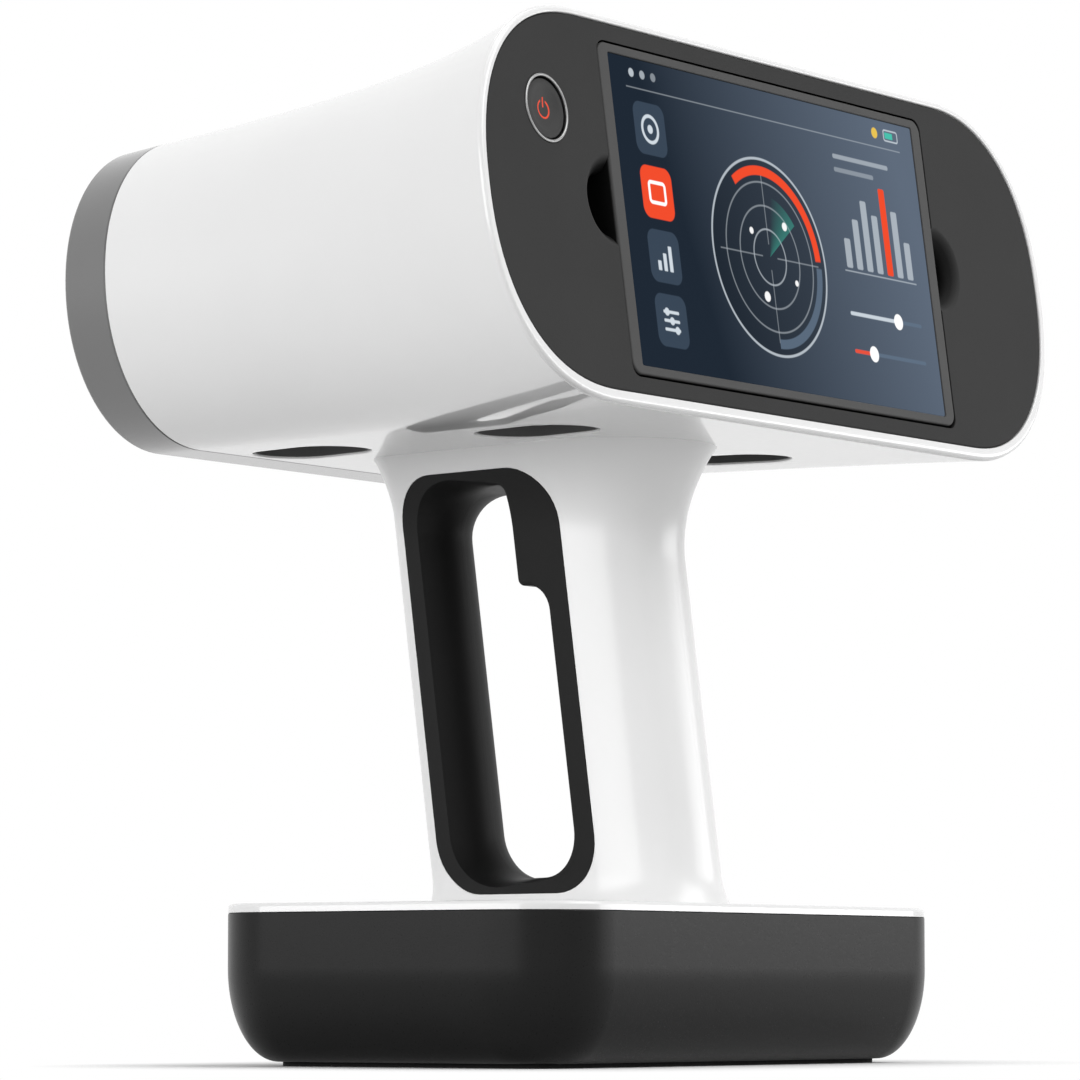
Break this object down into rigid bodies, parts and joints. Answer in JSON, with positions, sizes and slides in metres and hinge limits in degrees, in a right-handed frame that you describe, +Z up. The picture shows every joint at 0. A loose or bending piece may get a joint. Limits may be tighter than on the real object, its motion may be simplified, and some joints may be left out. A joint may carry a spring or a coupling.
{
  "type": "handheld three-d scanner",
  "caption": "Handheld three-d scanner: flared head with optics in front and a tilting screen behind, trigger grip with a finger hole, and a base with a battery drawer.",
  "frame": {"origin": "middle of the base's foot pad, on the surface that the scanner stands on", "axes": "+X right when facing the screen, +Y forward along the scan, +Z up"},
  "size_m": [0.23, 0.1529, 0.2303],
  "materials": {
    "white_gloss": "gloss",
    "ring_grey": "satin",
    "bezel_grey": "matte",
    "panel_grey": "satin",
    "display_glass": "gloss",
    "optic_glass": "gloss",
    "liner_black": "satin",
    "tub_charcoal": "satin",
    "optic_black": "matte",
    "board_green": "satin",
    "bare_metal": "satin",
    "steel": "satin",
    "brass": "satin",
    "lamp_white": "gloss",
    "cell_wrap": "satin",
    "foot_rubber": "matte"
  },
  "bodies": {
    "scanner": {"head_shell": "white_gloss", "grip_left": "white_gloss", "grip_right": "white_gloss", "base_plate": "white_gloss", "front_ring": "ring_grey", "rear_bezel": "bezel_grey", "projector_window": "optic_glass", "camera_windows": "optic_glass", "grip_liner": "liner_black", "base_tub": "tub_charcoal", "front_panel": "optic_black", "projector_module": "optic_black", "camera_left": "optic_black", "camera_right": "optic_black", "vent_grilles": "optic_black", "fan_frame_left": "optic_black", "fan_frame_right": "optic_black", "processor": "optic_black", "memory_drive": "optic_black", "wiring_harness": "optic_black", "contact_block": "optic_black", "flash_board": "board_green", "button_switch": "board_green", "main_board": "board_green", "antenna_board": "board_green", "trigger_switch": "board_green", "projector_hood": "bare_metal", "optical_bench": "bare_metal", "neck_bracket": "bare_metal", "button_ring": "bare_metal", "heat_sink": "bare_metal", "neck_screws": "steel", "hinge_pins": "steel", "button_spring": "steel", "grip_screws": "steel", "trigger_spring": "steel", "base_screws": "steel", "drawer_catches": "steel", "board_spacers": "brass", "flash_lamps": "lamp_white", "foot_pad": "foot_rubber"},
    "screen": {"screen_frame": "panel_grey", "display_glass": "display_glass", "display_module": "bare_metal", "screen_board": "board_green"},
    "power_key": {"power_button": "bezel_grey"},
    "trigger_key": {"trigger": "liner_black"},
    "fan_left": {"fan_rotor_left": "optic_black"},
    "fan_right": {"fan_rotor_right": "optic_black"},
    "battery": {"battery_drawer": "tub_charcoal", "battery_cells": "cell_wrap", "battery_lid": "optic_black", "battery_terminals": "brass"}
  },
  "joints": [
    {"name": "screen_tilt", "type": "hinge", "parent": "scanner", "child": "screen", "pos_m": [0, -0.04804, 0.22041], "axis": [-1, 0, 0], "range_deg": [0, 45]},
    {"name": "power_press", "type": "slide", "parent": "scanner", "child": "power_key", "axis": [0, 0.991, -0.134], "range_m": [0, 0.0008], "stiffness_N_per_m": 2000, "deforming": ["button_spring"]},
    {"name": "trigger_pull", "type": "slide", "parent": "scanner", "child": "trigger_key", "axis": [0, -1, 0], "range_m": [0, 0.002], "stiffness_N_per_m": 1500, "deforming": ["trigger_spring"]},
    {"name": "fan_left_spin", "type": "hinge", "parent": "scanner", "child": "fan_left", "pos_m": [-0.0383, -0.014, 0.15], "axis": [0, 0, 1], "continuous": true},
    {"name": "fan_right_spin", "type": "hinge", "parent": "scanner", "child": "fan_right", "pos_m": [0.0383, -0.014, 0.15], "axis": [0, 0, 1], "continuous": true},
    {"name": "battery_slide", "type": "slide", "parent": "scanner", "child": "battery", "axis": [0, 1, 0], "range_m": [0, 0.075]}
  ]
}
